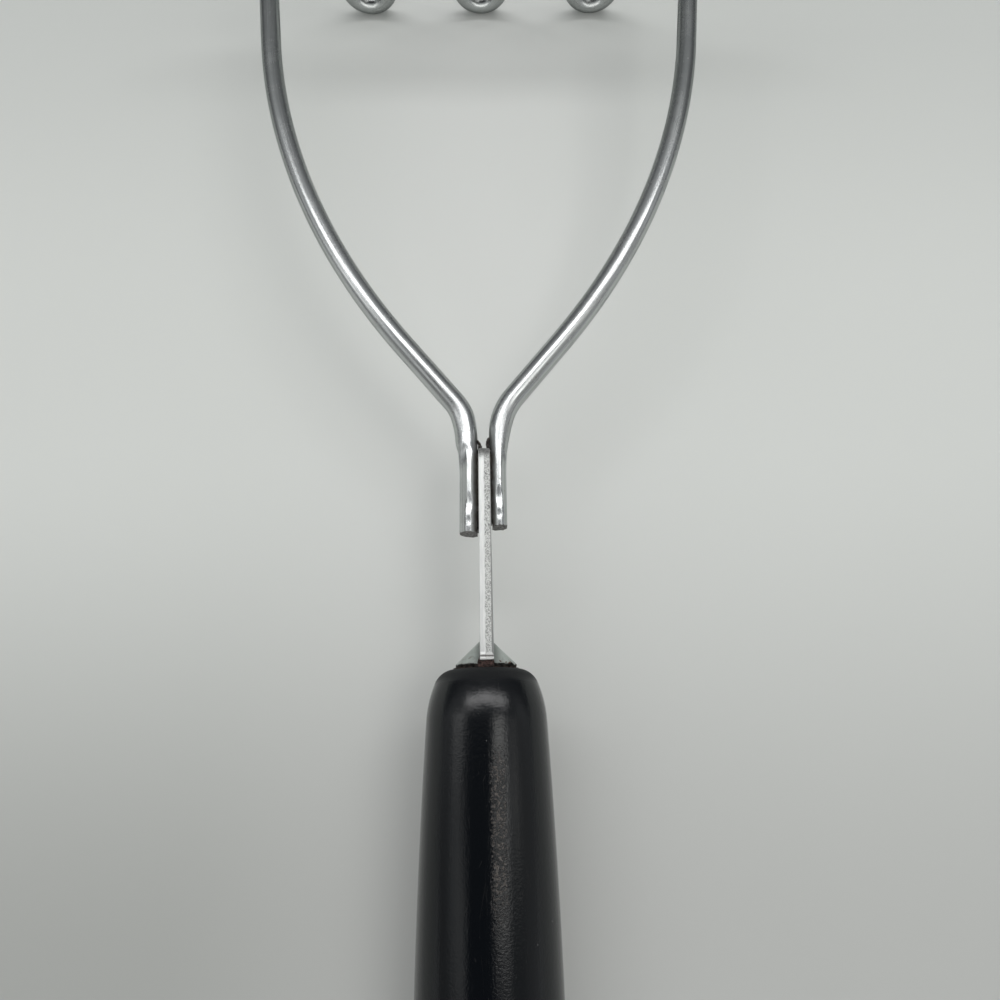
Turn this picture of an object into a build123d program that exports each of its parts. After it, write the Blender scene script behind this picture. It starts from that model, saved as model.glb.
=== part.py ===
from build123d import *
from math import acos, asin, atan2, cos, hypot, radians, sin, tan
import os

os.makedirs("parts", exist_ok=True)

# Potato masher: one bent wire that forms two arms and a mashing grid, welded to a flat
# tang that is driven into a turned wooden handle through a slotted conical ferrule.
# It is modelled as it lies on a table. X runs across it, Y from the handle to the grid,
# Z up. The origin is on the table, under the middle of the whole tool.
# Stations are distances along the tool's own axis from the front face of the handle.

# Wire and mashing grid
wire_diameter = 4.0
wire_sides = 16
bend_radius = 5.25
bend_pitch = 14.2
grid_depth = 57.0
bend_count = 7

# Arms
arm_reach = 134.8
left_neck_height = 6.4
right_neck_height = 7.1
neck_radius = 11.3
flare_angle = 39.0
shoulder_height = 51.6
shoulder_bend_radius = 133.0
grid_corner_radius = 7.0

# Squeezed wire ends, along the two sides of the tang
squeezed_width = 3.15
squeezed_diameter = 4.5
squeeze_length = 2.0
squeeze_start = 1.5
flat_runout = 0.6
left_overlap = 14.6
right_overlap = 14.0
shear_angle = 16.0

# Welds
weld_thickness = 0.3
weld_height = 2.4
weld_inset = 1.2

# Tang
tang_thickness = 1.9
tang_width = 9.5
tang_length = 37.0
tang_corner_radius = 3.5
tang_edge_break = 0.15
tongue_width = 6.0
tongue_depth = 38.0
tongue_tip_chamfer = 1.6
tongue_clearance = 0.1
tongue_end_room = 1.5

# Ferrule
ferrule_radius = 4.85
ferrule_rim_height = 0.7
ferrule_cone_height = 3.75
ferrule_nose_radius = 1.0
ferrule_wall = 0.6
shoulder_gap = 0.4
slot_clearance = 0.1

# Handle
handle_length = 105.0
front_face_radius = 5.0
brow_radius = 8.2
brow_station = 2.2
shoulder_radius = 9.47
shoulder_station = 7.9
belly_radius = 10.86
belly_station = 62.0
belly_steps = 5

# Sizes that follow from the ones above
wire_radius = wire_diameter / 2
half_depth = grid_depth / 2
last_bend = (bend_count - 1) // 2
bend_centre_height = half_depth - bend_radius
arm_spread = last_bend * bend_pitch + bend_radius
grid_station = tang_length + arm_reach
wire_flat = tang_thickness / 2 + weld_thickness
leg_offset = wire_flat + squeezed_width / 2
legs = ((-1, left_overlap, left_neck_height), (1, right_overlap, right_neck_height))
ferrule_height = ferrule_rim_height + ferrule_cone_height
tang_shoulder = ferrule_rim_height + shoulder_gap

# The passes of the grid lean, because the bends are tighter than half the pitch.
# A pass is the inner tangent of two neighbouring bends.
bend_distance = hypot(bend_pitch, 2 * bend_centre_height)
lean = acos(2 * bend_radius / bend_distance) - atan2(2 * bend_centre_height, bend_pitch)

# The belly of the handle follows one long arc that is widest at belly_station. The butt
# is the ball that the arc runs into.
belly_run = belly_station - shoulder_station
belly_rise = belly_radius - shoulder_radius
belly_arc_radius = (belly_run**2 + belly_rise**2) / (2 * belly_rise)
belly_centre = Vector(belly_radius - belly_arc_radius, -belly_station)
rear_run = handle_length - belly_station
butt_radius = (belly_arc_radius**2 - belly_centre.X**2 - rear_run**2) / (
    2 * (belly_arc_radius - rear_run)
)
butt_centre = Vector(0, butt_radius - handle_length)

# The tool lies on the lowest bends of its grid and on the ball of its handle's butt.
# Both are circles in the plane of symmetry, so the table is their common tangent.
rest_run = grid_station - butt_centre.Y
rest_angle = atan2(half_depth, rest_run)
tilt = rest_angle - asin((butt_radius - wire_radius) / hypot(rest_run, half_depth))
front_height = wire_radius + half_depth * cos(tilt) - grid_station * sin(tilt)
head_end = grid_station * cos(tilt) + half_depth * sin(tilt) + wire_radius
butt_end = butt_radius - butt_centre.Y * cos(tilt)
front_place = (butt_end - head_end) / 2

# TOOL holds X and the tool's axis, SIDE holds the axis and the tool's own up direction
TOOL = Plane(
    origin=(0, front_place, front_height), x_dir=(1, 0, 0), z_dir=(0, -sin(tilt), cos(tilt))
)
SIDE = Plane(origin=TOOL.origin, x_dir=TOOL.y_dir, z_dir=TOOL.x_dir)
TOOL_AXIS = Axis(TOOL.origin, TOOL.y_dir)


def place(across, station, up=0):
    return TOOL.from_local_coords(Vector(across, station, up))


def cross_section(across, station):
    return Plane(origin=place(across, station), x_dir=TOOL.x_dir, z_dir=TOOL.y_dir)


# The round wire is drawn with flats, which keeps its many bends light
def wire_section(radius):
    RegularPolygon(radius, wire_sides)


# Bends are numbered from the middle. Even ones are on the table side of the grid.
def bend_side(bend):
    return 1 if bend % 2 else -1


def bend_point(bend, out, beyond):
    height = bend_side(bend) * (bend_centre_height + beyond * bend_radius)
    return place(bend * bend_pitch + out * bend_radius, grid_station, height)


# An outermost bend meets the straight run that comes from its arm, the others a pass
def bend_start(bend):
    if bend == -last_bend:
        return bend_point(bend, -1, 0)
    return bend_point(bend, -cos(lean), sin(lean))


def bend_finish(bend):
    if bend == last_bend:
        return bend_point(bend, 1, 0)
    return bend_point(bend, cos(lean), sin(lean))


def arm_points(side, neck_height):
    shoulder_offset = leg_offset + (shoulder_height - neck_height) * tan(radians(flare_angle))
    return [
        place(side * leg_offset, tang_length + squeeze_start),
        place(side * leg_offset, tang_length + neck_height),
        place(side * shoulder_offset, tang_length + shoulder_height),
        place(side * arm_spread, grid_station),
        bend_point(side * last_bend, side, 0),
    ]


arm_radii = [neck_radius, shoulder_bend_radius, grid_corner_radius]


def end_outline(side, end_station, neck_height):
    inner = side * wire_flat
    outer = side * (wire_flat + squeezed_width)
    far = side * (leg_offset + squeezed_diameter)
    slant = squeezed_width / 2 * tan(radians(shear_angle))
    floor = end_station - squeezed_diameter
    return [
        (0, tang_length + flat_runout),
        (inner, tang_length),
        (inner, end_station - slant),
        (outer, end_station + slant),
        (outer, tang_length + squeeze_start),
        (far, tang_length + neck_height),
        (far, floor),
        (0, floor),
    ]


with BuildPart() as masher_wire:
    with BuildLine() as wire_path:
        for side, overlap, neck_height in legs:
            FilletPolyline(arm_points(side, neck_height), radius=arm_radii)
        for bend in range(-last_bend, last_bend + 1):
            ThreePointArc(bend_start(bend), bend_point(bend, 0, 1), bend_finish(bend))
            if bend < last_bend:
                Line(bend_finish(bend), bend_start(bend + 1))
    with BuildSketch(cross_section(-leg_offset, tang_length + squeeze_start)):
        wire_section(wire_radius)
    sweep(path=wire_path.wires()[0])
    # Each end swells where the electrodes squeezed it, and has a flat on both sides and
    # a sheared tip
    for side, overlap, neck_height in legs:
        swollen_station = tang_length + squeeze_start - squeeze_length
        end_station = tang_length - overlap
        with BuildSketch(cross_section(side * leg_offset, tang_length + squeeze_start)):
            wire_section(wire_radius)
        with BuildSketch(cross_section(side * leg_offset, swollen_station)) as swollen:
            wire_section(squeezed_diameter / 2)
        loft()
        extrude(swollen.sketch, amount=end_station - wire_radius - swollen_station)
        with BuildSketch(TOOL):
            with BuildLine():
                Polyline(end_outline(side, end_station, neck_height), close=True)
            make_face()
        extrude(amount=squeezed_diameter, both=True, mode=Mode.SUBTRACT)

masher_wire.part.label = "masher_wire"
export_step(masher_wire.part, "parts/masher_wire.step")

# The tang stands on edge, so its broad faces look to the left and to the right
with BuildPart() as tang:
    with BuildSketch(SIDE):
        with BuildLine():
            Polyline(
                (tang_length, -tang_width / 2),
                (tang_length, tang_width / 2),
                (tang_shoulder, tang_width / 2),
                (tang_shoulder, tongue_width / 2),
                (-tongue_depth, tongue_width / 2),
                (-tongue_depth, -tongue_width / 2),
                (tang_shoulder, -tongue_width / 2),
                (tang_shoulder, -tang_width / 2),
                close=True,
            )
        make_face()
    extrude(amount=tang_thickness / 2, both=True)
    across_edges = tang.edges().filter_by(Axis.X).group_by(TOOL_AXIS)
    fillet(across_edges[-1], tang_corner_radius)
    chamfer(across_edges[0], tongue_tip_chamfer)
    chamfer(tang.faces().filter_by(Axis.X).edges(), tang_edge_break)

tang.part.label = "tang"
export_step(tang.part, "parts/tang.step")

# The ferrule is a thin cone on a short rim, cut through by the slot for the tang
cone_run = ferrule_radius - ferrule_nose_radius
cone_side = hypot(cone_run, ferrule_cone_height)
inner_radius = ferrule_radius - ferrule_wall
inner_rim_height = ferrule_rim_height - ferrule_wall * (cone_side - ferrule_cone_height) / cone_run
inner_height = ferrule_height - ferrule_wall
inner_nose_radius = inner_radius - (inner_height - inner_rim_height) * cone_run / ferrule_cone_height

with BuildPart() as ferrule:
    with BuildSketch(TOOL):
        with BuildLine():
            Polyline(
                (inner_radius, 0),
                (ferrule_radius, 0),
                (ferrule_radius, ferrule_rim_height),
                (ferrule_nose_radius, ferrule_height),
                (0, ferrule_height),
                (0, inner_height),
                (inner_nose_radius, inner_height),
                (inner_radius, inner_rim_height),
                close=True,
            )
        make_face()
    revolve(axis=TOOL_AXIS)
    with BuildSketch(cross_section(0, ferrule_rim_height)):
        Rectangle(tang_thickness + 2 * slot_clearance, 2 * ferrule_radius)
    extrude(amount=ferrule_height, mode=Mode.SUBTRACT)

ferrule.part.label = "ferrule"
export_step(ferrule.part, "parts/ferrule.step")

# The handle is turned: a tight brow, a soft shoulder, a long belly and a round butt.
# The belly's arc is so flat that a few straight runs, all but in line, follow it.
with BuildPart() as handle:
    with BuildSketch(TOOL):
        with BuildLine():
            shoulder = (shoulder_radius, -shoulder_station)
            brow = (brow_radius, -brow_station)
            butt_line = (butt_centre - belly_centre).normalized()
            belly_end = belly_centre + butt_line * belly_arc_radius
            belly_middle = (belly_radius, -belly_station)
            belly = ThreePointArc(shoulder, belly_middle, belly_end, mode=Mode.PRIVATE)
            Line((0, 0), (front_face_radius, 0))
            soft = TangentArc(shoulder, brow, tangent=-(belly % 0))
            TangentArc(brow, (front_face_radius, 0), tangent=soft % 1)
            Polyline([belly @ (step / belly_steps) for step in range(belly_steps + 1)])
            TangentArc(belly @ 1, (0, -handle_length), tangent=belly % 1)
            Line((0, -handle_length), (0, 0))
        make_face()
    revolve(axis=TOOL_AXIS)
    with BuildSketch(cross_section(0, 0)):
        Rectangle(
            tang_thickness + 2 * tongue_clearance, tongue_width + 2 * tongue_clearance
        )
    extrude(amount=-(tongue_depth + tongue_end_room), mode=Mode.SUBTRACT)

handle.part.label = "handle"
export_step(handle.part, "parts/handle.step")


# A weld is the fused seam between a wire's flat and the broad face of the tang
def make_weld(side, overlap, label):
    seam_start = tang_length - overlap + weld_inset
    with BuildPart() as weld:
        with BuildSketch(SIDE.offset(side * tang_thickness / 2)):
            with Locations(((seam_start + tang_length) / 2, 0)):
                SlotOverall(tang_length - seam_start, weld_height)
        extrude(amount=side * weld_thickness)
    weld.part.label = label
    export_step(weld.part, f"parts/{label}.step")


for side, overlap, neck_height in legs:
    make_weld(side, overlap, "weld_left" if side < 0 else "weld_right")
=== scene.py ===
import bmesh
import bpy
import random
from math import acos, asin, atan2, cos, exp, hypot, pi, radians, sin, sqrt, tan
from mathutils import Matrix, Vector, noise


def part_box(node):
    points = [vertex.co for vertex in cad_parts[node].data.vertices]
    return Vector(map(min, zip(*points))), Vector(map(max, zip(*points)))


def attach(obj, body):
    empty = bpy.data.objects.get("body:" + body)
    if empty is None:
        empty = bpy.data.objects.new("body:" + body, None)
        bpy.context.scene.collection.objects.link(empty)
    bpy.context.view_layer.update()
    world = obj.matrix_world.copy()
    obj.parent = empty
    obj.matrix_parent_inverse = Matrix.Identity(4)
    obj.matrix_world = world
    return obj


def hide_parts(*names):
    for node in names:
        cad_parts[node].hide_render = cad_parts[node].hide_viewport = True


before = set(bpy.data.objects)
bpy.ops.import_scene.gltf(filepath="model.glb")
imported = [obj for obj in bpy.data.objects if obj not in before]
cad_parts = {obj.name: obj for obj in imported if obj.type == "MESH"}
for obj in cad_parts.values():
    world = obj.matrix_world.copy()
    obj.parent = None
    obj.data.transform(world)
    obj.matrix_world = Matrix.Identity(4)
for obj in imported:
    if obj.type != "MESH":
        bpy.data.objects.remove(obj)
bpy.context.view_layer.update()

# All sizes are in metres. X runs across the masher, Y from the handle to the grid, Z up.
# Stations are distances along the tool's own axis from the front face of the handle.

# Wire and grid
wire_radius = 0.0020
bend_radius = 0.00525
bend_pitch = 0.0142
grid_depth = 0.057
bend_count = 7
arm_reach = 0.1348
neck_heights = {-1: 0.0064, 1: 0.0071}
neck_radius = 0.0113
flare_angle = radians(39)
shoulder_height = 0.0516
shoulder_bend_radius = 0.133
grid_corner_radius = 0.007

# Squeezed ends of the wire, beside the tang
overlaps = {-1: 0.0148, 1: 0.0137}
squeezed_width = 0.00315
squeezed_radius = 0.00238
squeeze_start = 0.0015
squeeze_run = 0.0022
facet_start = 0.0030
facet_run = 0.0075
shear_angle = radians(3)
shear_lean = radians(1.5)
shear_run = 0.0014
# How far each end is narrowed on its outer side, and how far it stands off above the tang
end_narrowing = {-1: 0.055, 1: 0.205}
narrowing_start = 0.0055
narrowing_run = 0.0060
stand_offs = {-1: 0.00030, 1: 0.0}
stand_off_end = 0.0085
facet_angle = radians(49)
facet_ridges = {-1: 0.00178, 1: 0.00205}
ridge_drift = 0.00025
# Each mark of the electrodes: its middle and half its length from the tip, and its depth
electrode_marks = ((0.0049, 0.0022, 0.00013), (0.0018, 0.0011, 0.00006))

# Tang, ferrule and weld
tang_thickness = 0.0019
tang_width = 0.0095
tang_length = 0.037
tang_corner_radius = 0.0035
tang_shoulder = 0.0011
tang_edge_roll = 0.00022
tang_edge_burr = 0.00008
tongue_width = 0.006
tongue_depth = 0.038
weld_thickness = 0.0003
ferrule_radius = 0.00485
ferrule_rim_height = 0.0007
ferrule_height = 0.00445
ferrule_nose_radius = 0.001
ferrule_wall = 0.0005
slot_half = 0.00103
slot_flare = 0.00030

# Handle
handle_length = 0.105
front_face_radius = 0.005
brow_radius = 0.0082
brow_station = 0.0022
shoulder_radius = 0.00947
shoulder_station = 0.0079
belly_radius = 0.01086
belly_station = 0.062

# How finely the round shapes are drawn
wire_sides = 64
fine_step = 0.00018
fine_edge_step = 0.00011
bend_steps = 22
handle_sides = 160

# Sizes that follow from the ones above
last_bend = (bend_count - 1) // 2
bend_centre_height = grid_depth / 2 - bend_radius
arm_spread = last_bend * bend_pitch + bend_radius
grid_station = tang_length + arm_reach
wire_flat = tang_thickness / 2 + weld_thickness
leg_offset = wire_flat + squeezed_width / 2
bend_distance = hypot(bend_pitch, 2 * bend_centre_height)
lean = acos(2 * bend_radius / bend_distance) - atan2(2 * bend_centre_height, bend_pitch)

# The belly of the handle is one long arc, and its butt is the ball that the arc runs into
belly_run = belly_station - shoulder_station
belly_rise = belly_radius - shoulder_radius
belly_arc_radius = (belly_run**2 + belly_rise**2) / (2 * belly_rise)
belly_centre = Vector((belly_radius - belly_arc_radius, -belly_station))
rear_run = handle_length - belly_station
butt_radius = (belly_arc_radius**2 - belly_centre.x**2 - rear_run**2) / (2 * (belly_arc_radius - rear_run))
butt_centre = Vector((0, butt_radius - handle_length))

# The tool rests on its lowest bends and on that ball, which tilts it on the table
rest_run = grid_station - butt_centre.y
rest_distance = hypot(rest_run, grid_depth / 2)
tilt = atan2(grid_depth / 2, rest_run) - asin((butt_radius - wire_radius) / rest_distance)

# Its own frame starts at the handle's front face, which is found from the box of the
# ferrule that is seated on it.
rim_low, rim_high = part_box("ferrule")
front_face = Vector((0, rim_low.y + ferrule_radius * sin(tilt), rim_low.z + ferrule_radius * cos(tilt)))
TOOL = Matrix.Translation(front_face) @ Matrix.Rotation(tilt, 4, "X")


def smooth_share(value, start, finish):
    share = min(max((value - start) / (finish - start), 0.0), 1.0)
    return share * share * (3 - 2 * share)


# Meshes

def new_piece(name, mesh):
    piece = bpy.data.objects.new(name, mesh)
    bpy.context.scene.collection.objects.link(piece)
    return piece


def finish_piece(piece, materials, crease=radians(38), replaces=()):
    piece.data.materials.clear()
    for material in materials:
        piece.data.materials.append(material)
    piece.data.shade_smooth()
    piece.data.set_sharp_from_angle(angle=crease)
    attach(piece, "root")
    if replaces:
        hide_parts(*replaces)
    return piece


def mesh_from_bmesh(name, shape):
    bmesh.ops.recalc_face_normals(shape, faces=shape.faces)
    mesh = bpy.data.meshes.new(name)
    shape.to_mesh(mesh)
    shape.free()
    return mesh


# Nodes

def add_node(tree, kind, inputs=None, **settings):
    node = tree.nodes.new(kind)
    for name, value in settings.items():
        setattr(node, name, value)
    for name, value in (inputs or {}).items():
        socket = node.inputs[name]
        if isinstance(value, bpy.types.NodeSocket):
            tree.links.new(value, socket)
        else:
            socket.default_value = value
    return node


def add_math(tree, operation, first, second=0.0, **settings):
    node = add_node(tree, "ShaderNodeMath", {0: first, 1: second}, operation=operation, **settings)
    return node.outputs[0]


def add_range(tree, value, low, high, to_low=0.0, to_high=1.0, kind="SMOOTHSTEP"):
    node = add_node(
        tree, "ShaderNodeMapRange",
        {"Value": value, "From Min": low, "From Max": high, "To Min": to_low, "To Max": to_high},
        interpolation_type=kind,
    )
    return node.outputs["Result"]


def add_mix(tree, share, first, second):
    node = add_node(tree, "ShaderNodeMix", data_type="RGBA")
    for socket, value in ((0, share), (6, first), (7, second)):
        if isinstance(value, bpy.types.NodeSocket):
            tree.links.new(value, node.inputs[socket])
        else:
            node.inputs[socket].default_value = value if socket == 0 else (*value, 1)
    return node.outputs[2]


def new_tree(name, kind, inputs, outputs):
    tree = bpy.data.node_groups.new(name, kind)
    for label, (socket_type, value) in inputs.items():
        socket = tree.interface.new_socket(label, in_out="INPUT", socket_type=socket_type)
        if value is not None:
            socket.default_value = value
    for label, socket_type in outputs.items():
        tree.interface.new_socket(label, in_out="OUTPUT", socket_type=socket_type)
    return tree, tree.nodes.new("NodeGroupInput").outputs, tree.nodes.new("NodeGroupOutput").inputs


# Bends and arms of the wire, as points in the tool's own frame

def rounded_corner(before, corner, after, radius, steps):
    inward = (before - corner).normalized()
    onward = (after - corner).normalized()
    half = inward.angle(onward) / 2
    centre = corner + (inward + onward).normalized() * radius / sin(half)
    start = corner + inward * radius / tan(half) - centre
    finish = corner + onward * radius / tan(half) - centre
    turn = start.angle(finish)
    return [
        centre + (start * sin(turn * (1 - k / steps)) + finish * sin(turn * k / steps)) / sin(turn)
        for k in range(steps + 1)
    ]


def arm_route(side):
    neck_height = neck_heights[side]
    shoulder_offset = leg_offset + (shoulder_height - neck_height) * tan(flare_angle)
    end = Vector((side * leg_offset, tang_length - overlaps[side], 0))
    neck = Vector((side * leg_offset, tang_length + neck_height, 0))
    shoulder = Vector((side * shoulder_offset, tang_length + shoulder_height, 0))
    corner = Vector((side * arm_spread, grid_station, 0))
    top = Vector((side * arm_spread, grid_station, bend_centre_height))
    neck_turn = rounded_corner(end, neck, shoulder, neck_radius, 16)
    rings = int((neck_turn[0] - end).length / fine_step)
    route = [end.lerp(neck_turn[0], k / rings) for k in range(rings)]
    route += neck_turn
    route += rounded_corner(neck, shoulder, corner, shoulder_bend_radius, 40)
    route += rounded_corner(shoulder, corner, top, grid_corner_radius, 18)
    return route


def bend_route(bend):
    side = 1 if bend % 2 else -1
    start = pi if bend == -last_bend else pi - lean
    finish = 0 if bend == last_bend else lean
    turns = [start + (finish - start) * k / bend_steps for k in range(bend_steps + 1)]
    return [
        Vector((
            bend * bend_pitch + bend_radius * cos(turn),
            grid_station,
            side * (bend_centre_height + bend_radius * sin(turn)),
        ))
        for turn in turns
    ]


def wire_route():
    route = arm_route(-1)
    for bend in range(-last_bend, last_bend + 1):
        route += bend_route(bend)
    return route + arm_route(1)[::-1]


# The tree sweeps a round bar along the edges of a mesh. The attribute bar_flow is the
# place round the bar and along it, for finishes that follow the bar.
def swept_bar_tree():
    tree, given, result = new_tree(
        "swept_bar", "GeometryNodeTree",
        {
            "Geometry": ("NodeSocketGeometry", None),
            "Bar Radius": ("NodeSocketFloat", wire_radius),
            "Sides": ("NodeSocketInt", wire_sides),
            "Finish": ("NodeSocketMaterial", None),
        },
        {"Geometry": "NodeSocketGeometry"},
    )
    line = add_node(tree, "GeometryNodeMeshToCurve", {"Mesh": given["Geometry"]}).outputs["Curve"]
    along = add_node(tree, "GeometryNodeSplineParameter").outputs["Length"]
    line = add_node(
        tree, "GeometryNodeStoreNamedAttribute",
        {"Geometry": line, "Name": "bar_along", "Value": along}, data_type="FLOAT",
    ).outputs["Geometry"]
    circle = add_node(
        tree, "GeometryNodeCurvePrimitiveCircle",
        {"Resolution": given["Sides"], "Radius": given["Bar Radius"]},
    ).outputs["Curve"]
    place = add_node(tree, "GeometryNodeInputPosition").outputs["Position"]
    circle = add_node(
        tree, "GeometryNodeStoreNamedAttribute",
        {"Geometry": circle, "Name": "bar_round", "Value": place}, data_type="FLOAT_VECTOR",
    ).outputs["Geometry"]
    bar = add_node(
        tree, "GeometryNodeCurveToMesh", {"Curve": line, "Profile Curve": circle, "Fill Caps": True}
    ).outputs["Mesh"]
    along = add_node(
        tree, "GeometryNodeInputNamedAttribute", {"Name": "bar_along"}, data_type="FLOAT"
    ).outputs["Attribute"]
    upright = add_node(tree, "ShaderNodeCombineXYZ", {"Z": along}).outputs[0]
    around = add_node(
        tree, "GeometryNodeInputNamedAttribute", {"Name": "bar_round"}, data_type="FLOAT_VECTOR"
    ).outputs["Attribute"]
    flow = add_node(tree, "ShaderNodeVectorMath", {0: around, 1: upright}, operation="ADD").outputs[0]
    bar = add_node(
        tree, "GeometryNodeStoreNamedAttribute",
        {"Geometry": bar, "Name": "bar_flow", "Value": flow}, data_type="FLOAT_VECTOR",
    ).outputs["Geometry"]
    bar = add_node(tree, "GeometryNodeRealizeInstances", {"Geometry": bar}).outputs["Geometry"]
    bar = add_node(
        tree, "GeometryNodeSetMaterial", {"Geometry": bar, "Material": given["Finish"]}
    ).outputs["Geometry"]
    tree.links.new(bar, result["Geometry"])
    return tree


def run_tree(name, mesh, tree, **values):
    carrier = new_piece(name + "_carrier", mesh)
    modifier = carrier.modifiers.new("shape", "NODES")
    modifier.node_group = tree
    for item in tree.interface.items_tree:
        label = item.name.replace(" ", "_").lower()
        if item.in_out == "INPUT" and label in values:
            modifier[item.identifier] = values[label]
    evaluated = carrier.evaluated_get(bpy.context.evaluated_depsgraph_get())
    plain = bpy.data.meshes.new_from_object(evaluated)
    plain.name = name
    carrier.modifiers.remove(modifier)
    bpy.data.objects.remove(carrier)
    bpy.data.meshes.remove(mesh)
    return new_piece(name, plain)


# Each end of the wire has a flat against the tang, a slanted facet on its outer side,
# two shallow marks of the welding electrodes on top and a torn, sheared tip
def squeezed_place(point):
    side = -1 if point.x < 0 else 1
    offset = abs(point.x)
    station = point.y
    if station > tang_length + stand_off_end or offset > 3 * leg_offset:
        return point
    from_tip = station - (tang_length - overlaps[side])
    share = smooth_share(tang_length + squeeze_start - station, 0, squeeze_run)
    outer_share = smooth_share(tang_length + facet_start - station, 0, facet_run)
    thickened = min(1.0, max(0.0, tang_length + squeeze_start - station) / overlaps[side])
    end_radius = wire_radius + thickened * (squeezed_radius - wire_radius)
    height = abs(point.z) * end_radius / wire_radius
    spare = wire_radius - squeezed_width / 2
    inner = leg_offset - wire_radius + share * spare
    outer = leg_offset + wire_radius - outer_share * spare
    offset = min(max(offset, inner), outer) if outer_share + share > 0 else offset
    ridge = wire_flat + facet_ridges[side] + ridge_drift * (1 - smooth_share(from_tip, 0.002, 0.0065))
    limit = end_radius - max(0.0, offset - ridge) * tan(facet_angle) * outer_share
    inner_half = 1 - smooth_share(offset, ridge - 0.0006, ridge + 0.0003)
    for painted_light_middle, half, depth in electrode_marks:
        reach = min(1.0, abs(from_tip - painted_light_middle) / half)
        limit -= depth * (1 - reach**2) ** 2 * inner_half
    limit -= 0.00003 * share * (1 + noise.noise(Vector((offset * 500, station * 420, side))))
    height = min(height, limit)
    up = height if point.z > 0 else -height
    tear = noise.noise(Vector((offset, up, side)) * 1900) * 0.00015
    shear = (offset - leg_offset) * tan(shear_angle) + (squeezed_radius - up) * tan(shear_lean) + tear
    narrowed = end_narrowing[side] * smooth_share(tang_length + narrowing_start - station, 0, narrowing_run)
    offset = wire_flat + (offset - wire_flat) * (1 - narrowed)
    rising = smooth_share(station, tang_length - 0.0005, tang_length + 0.0015)
    offset += stand_offs[side] * rising * (1 - smooth_share(station, tang_length + 0.004, tang_length + stand_off_end))
    station += shear * (1 - smooth_share(from_tip, 0, shear_run))
    return Vector((side * offset, station, up))


def make_wire(wire_finish, cut_finish):
    line = bpy.data.meshes.new("wire_line")
    route = wire_route()
    line.from_pydata(route, [(k, k + 1) for k in range(len(route) - 1)], [])
    wire = run_tree(
        "bent_wire", line, swept_bar_tree(), bar_radius=wire_radius, sides=wire_sides, finish=wire_finish
    )
    for vertex in wire.data.vertices:
        vertex.co = squeezed_place(vertex.co)
    wire.data.transform(TOOL)
    finish_piece(wire, [wire_finish, cut_finish], replaces=["masher_wire"])
    for face in wire.data.polygons:
        if len(face.vertices) > 4:
            face.material_index = 1
    return wire


# The handle is turned, so its mesh is its profile spun about the tool's axis
def arc_between(start, finish, start_direction, steps):
    chord = finish - start
    across = Vector((-start_direction.y, start_direction.x))
    radius = chord.length_squared / (2 * chord.dot(across))
    centre = start + across * radius
    first = start - centre
    last = finish - centre
    turn = atan2(first.x * last.y - first.y * last.x, first.dot(last))
    points = []
    for k in range(steps + 1):
        angle = turn * k / steps
        spun = Vector((first.x * cos(angle) - first.y * sin(angle), first.x * sin(angle) + first.y * cos(angle)))
        points.append(centre + spun)
    direction = Vector((start_direction.x * cos(turn) - start_direction.y * sin(turn),
                        start_direction.x * sin(turn) + start_direction.y * cos(turn)))
    return points, direction


def handle_profile():
    belly_end = belly_centre + (butt_centre - belly_centre).normalized() * belly_arc_radius
    shoulder = Vector((shoulder_radius, -shoulder_station))
    from_centre = (shoulder - belly_centre).normalized()
    backward = Vector((from_centre.y, -from_centre.x))
    belly, rear_direction = arc_between(shoulder, belly_end, backward, 60)
    butt, end_direction = arc_between(belly_end, Vector((0, -handle_length)), rear_direction, 30)
    soft, brow_direction = arc_between(shoulder, Vector((brow_radius, -brow_station)), -backward, 16)
    brow, face_direction = arc_between(soft[-1], Vector((front_face_radius, 0)), brow_direction, 16)
    return [Vector((0, 0))] + brow[::-1] + soft[-2::-1] + belly[1:] + butt[1:]


def make_handle(finish):
    shape = bmesh.new()
    rows = []
    for point in handle_profile():
        radius = max(point.x, 0)
        if radius < 1e-6:
            rows.append([shape.verts.new((0, point.y, 0))])
            continue
        row = []
        for k in range(handle_sides):
            angle = 2 * pi * k / handle_sides
            row.append(shape.verts.new((radius * sin(angle), point.y, radius * cos(angle))))
        rows.append(row)
    for row, following in zip(rows, rows[1:]):
        for k in range(handle_sides):
            near = (k + 1) % handle_sides
            if len(row) == 1:
                shape.faces.new((row[0], following[k], following[near]))
            elif len(following) == 1:
                shape.faces.new((row[near], row[k], following[0]))
            else:
                shape.faces.new((row[near], row[k], following[k], following[near]))
    mesh = mesh_from_bmesh("turned_handle", shape)
    mesh.transform(TOOL)
    return finish_piece(
        new_piece("turned_handle", mesh), [finish], crease=radians(60), replaces=["handle"]
    )


# The tang is a flat bar whose edge was sheared. On the edge, x < 0 is the burnished half
# with a rolled corner and x > 0 the torn half with a burr.
def tang_outline():
    half = tang_width / 2
    tongue = tongue_width / 2
    corners = [Vector((tang_length, -half)), Vector((tang_length, half))]
    tip = rounded_corner(Vector((0, -half)), corners[0], Vector((tang_length, 0)), tang_corner_radius, 26)
    tip += rounded_corner(Vector((tang_length, 0)), corners[1], Vector((0, half)), tang_corner_radius, 26)
    along = int((tang_length - tang_shoulder - tang_corner_radius) / fine_edge_step)
    lower = [Vector((tang_shoulder, -half)).lerp(tip[0], k / along) for k in range(along)]
    upper = [tip[-1].lerp(Vector((tang_shoulder, half)), (k + 1) / along) for k in range(along)]
    tongue_end = [
        Vector((tang_shoulder, tongue)), Vector((-tongue_depth, tongue)),
        Vector((-tongue_depth, -tongue)), Vector((tang_shoulder, -tongue)),
    ]
    return lower + tip + upper + tongue_end


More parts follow.
